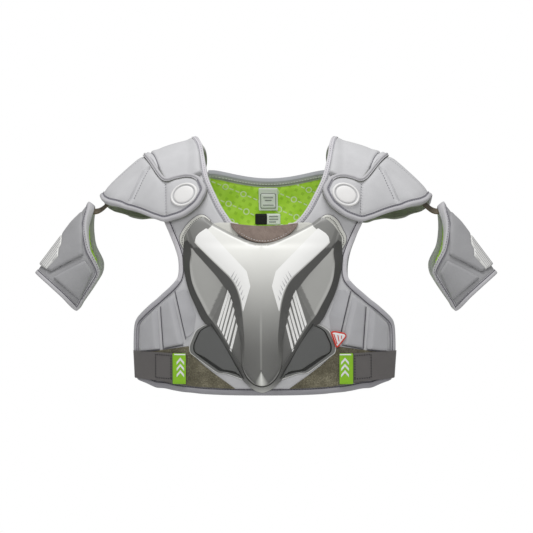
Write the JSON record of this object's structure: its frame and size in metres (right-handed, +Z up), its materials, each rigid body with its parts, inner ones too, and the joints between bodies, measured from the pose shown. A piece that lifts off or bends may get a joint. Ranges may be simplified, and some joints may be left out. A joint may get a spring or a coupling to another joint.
{
  "type": "lacrosse shoulder pads",
  "caption": "Padded vest for the shoulders, chest and upper arms, with a moulded chest plate, shoulder caps, hung arm guards and side belts.",
  "frame": {"origin": "midway between the shoulders, under the ridge that the yokes sit on, where the wearer's shoulders carry the pads", "axes": "+X to the wearer's left, across the shoulders; +Y to the back; +Z up"},
  "size_m": [0.6686, 0.2576, 0.3737],
  "materials": {
    "grey_cloth": "brushed knit",
    "pad_cloth": "brushed knit",
    "tape": "woven binding tape",
    "dark_lining": "wrinkled knit",
    "green_lining": "printed knit",
    "olive_loop": "brushed loop",
    "elastic": "woven elastic",
    "pull_green": "satin",
    "suede": "suede",
    "label_white": "smooth label",
    "flag_red": "smooth label",
    "white_ridge": "matte",
    "off_white": "ribbed edge",
    "plate": "satin, white to dark grey",
    "dark_plate": "satin",
    "badge": "matte"
  },
  "bodies": {
    "root": {"front_liner": "grey_cloth", "front_binding": "tape", "back_liner": "grey_cloth", "back_lining": "green_lining", "back_neck_binding": "tape", "back_binding": "tape", "chest_plate": "plate", "neck_tab": "suede", "flag_label": "flag_red", "neck_label": "label_white", "size_label": "label_white", "yoke_l": "grey_cloth", "yoke_r": "grey_cloth", "yoke_block_l": "grey_cloth", "yoke_block_r": "grey_cloth", "neck_binding_l": "tape", "neck_binding_r": "tape", "shoulder_cap_l": "grey_cloth", "shoulder_cap_r": "grey_cloth", "cap_binding_l": "tape", "cap_binding_r": "tape", "cap_lining_l": "dark_lining", "cap_lining_r": "dark_lining", "cap_badge_l": "badge", "cap_badge_r": "badge", "wing_pad_outer_l": "pad_cloth", "wing_pad_outer_r": "pad_cloth", "wing_pad_middle_l": "pad_cloth", "wing_pad_middle_r": "pad_cloth", "wing_pad_inner_l": "pad_cloth", "wing_pad_inner_r": "pad_cloth", "plate_flange_l": "off_white", "plate_flange_r": "off_white", "wing_plate_l": "dark_plate", "wing_plate_r": "dark_plate", "loop_panel_l": "olive_loop", "loop_panel_r": "olive_loop", "belt_l": "elastic", "belt_r": "elastic", "pull_tab_l": "pull_green", "pull_tab_r": "pull_green", "arm_guard_l": "pad_cloth", "arm_guard_r": "pad_cloth", "arm_lining_l": "green_lining", "arm_lining_r": "green_lining", "arm_binding_l": "tape", "arm_binding_r": "tape", "arm_ridge_l": "white_ridge", "arm_ridge_r": "white_ridge", "arm_pad_upper_l": "pad_cloth", "arm_pad_upper_r": "pad_cloth", "arm_pad_lower_l": "pad_cloth", "arm_pad_lower_r": "pad_cloth", "arm_strap_l": "elastic", "arm_strap_r": "elastic"}
  },
  "joints": []
}
